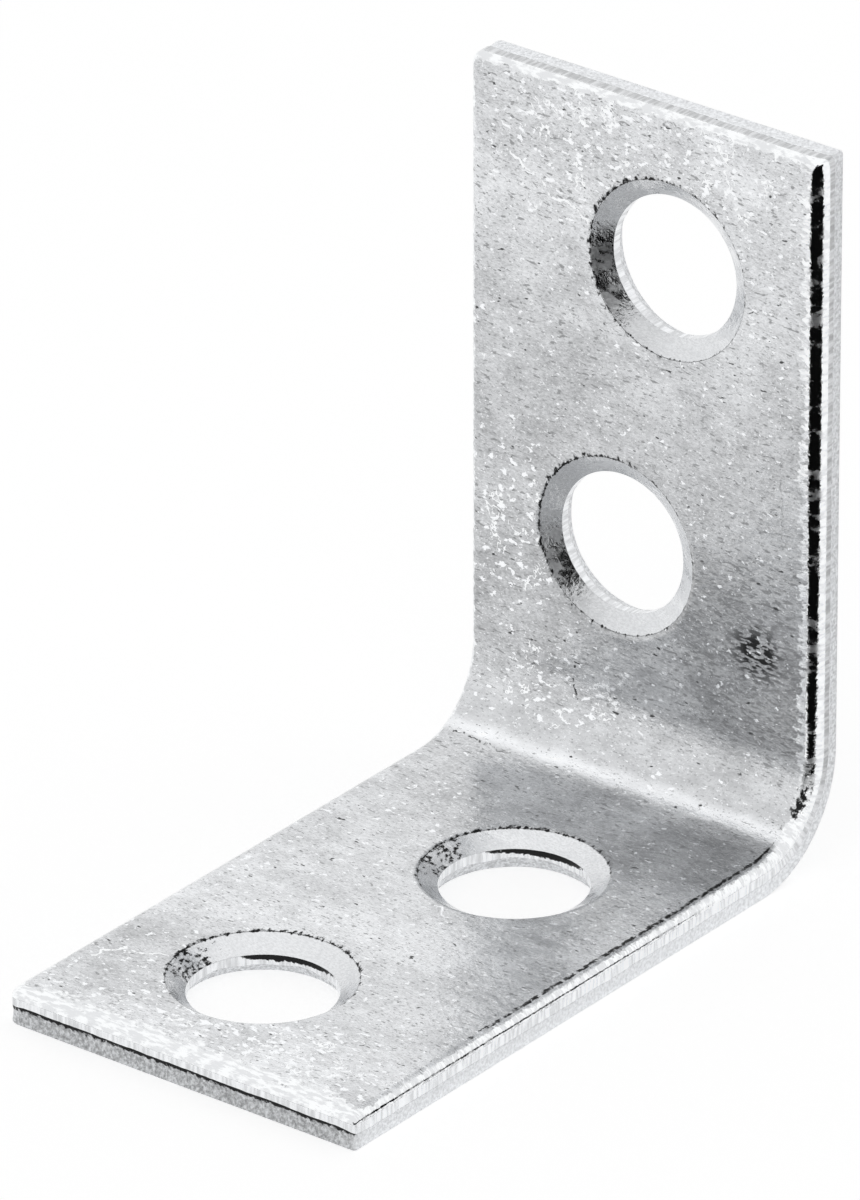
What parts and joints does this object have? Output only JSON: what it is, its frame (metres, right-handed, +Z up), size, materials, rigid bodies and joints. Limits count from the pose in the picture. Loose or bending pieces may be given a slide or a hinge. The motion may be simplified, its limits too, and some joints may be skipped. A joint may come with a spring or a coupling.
{
  "type": "angle bracket",
  "caption": "Small folded sheet-metal angle bracket with two equal legs and staggered countersunk screw holes.",
  "frame": {"origin": "middle of the rectangle the bracket stands on, at the underside of its base leg", "axes": "X across the strip, +Y out of the upright leg's outside face, +Z up and out of the base leg's countersinks"},
  "size_m": [0.014, 0.025, 0.025],
  "materials": {
    "zinc_plated_steel": "bright zinc plate, slightly mottled, with small pits and scratches"
  },
  "bodies": {
    "root": {"angle_bracket": "zinc_plated_steel"}
  },
  "joints": []
}
